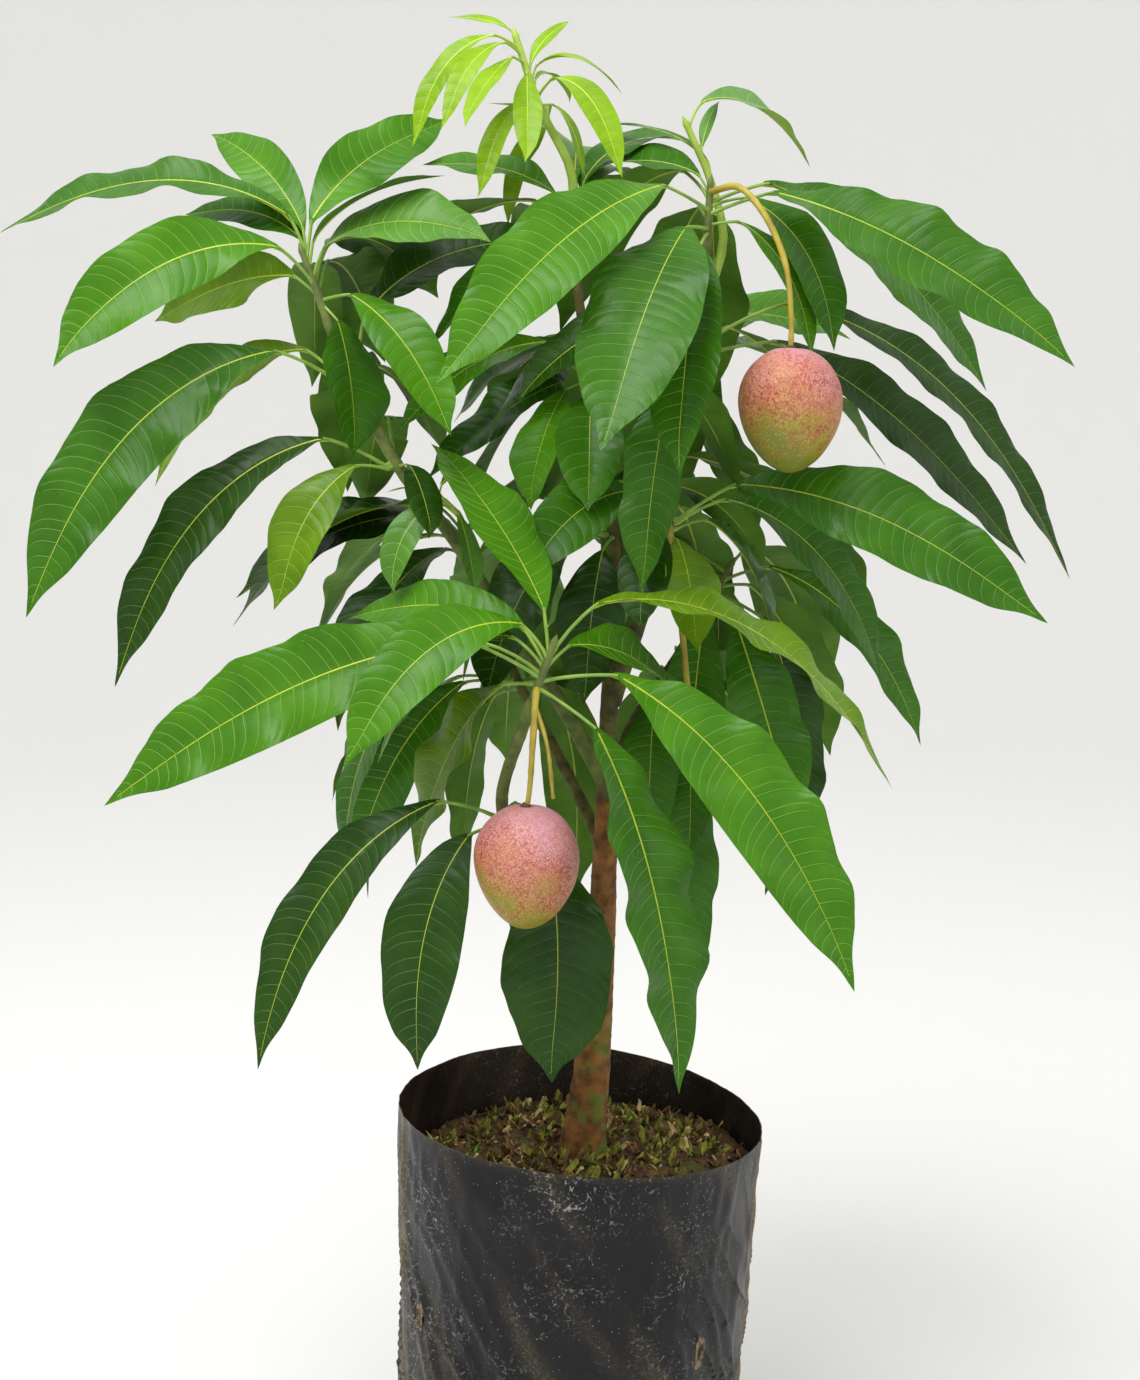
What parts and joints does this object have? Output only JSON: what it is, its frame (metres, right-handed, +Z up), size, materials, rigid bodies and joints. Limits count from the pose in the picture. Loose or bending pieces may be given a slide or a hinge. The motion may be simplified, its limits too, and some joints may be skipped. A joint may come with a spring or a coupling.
{
  "type": "mango tree sapling",
  "caption": "Young mango tree with long drooping leaves in whorls and two ripening fruits, standing in a black film grow bag filled with soil.",
  "frame": {"origin": "centre of the flat underside of the grow bag, on the surface it stands on", "axes": "+Z up along the trunk; +X to the viewer's right and -Y towards the viewer, as the plant is seen from its front"},
  "size_m": [0.7903, 0.538, 1.1682],
  "materials": {
    "film": "satin",
    "soil": "matte",
    "bark": "matte",
    "leaf": "satin",
    "young_leaf": "satin",
    "fruit": "satin"
  },
  "bodies": {
    "root": {"grow_bag": "film", "soil": "soil", "trunk": "bark", "bough_front": "bark", "bough_left": "bark", "bough_right": "bark", "bough_right_back": "bark", "bough_left_back": "bark", "bough_back": "bark", "fruit_front": "fruit", "fruit_right": "fruit", "left_crown": "leaf", "left_middle": "leaf", "left_lower": "leaf", "front_crown": "leaf", "front_lower": "leaf", "right_crown": "leaf", "right_middle": "leaf", "right_lower": "leaf", "right_back_crown": "leaf", "right_back_lower": "leaf", "left_back_crown": "leaf", "left_back_lower": "leaf", "back_crown": "leaf", "back_middle": "leaf", "leader_low": "leaf", "leader_middle": "leaf", "leader_high": "leaf", "young_flush": "young_leaf", "left_sprout": "young_leaf", "right_sprout": "young_leaf"}
  },
  "joints": []
}
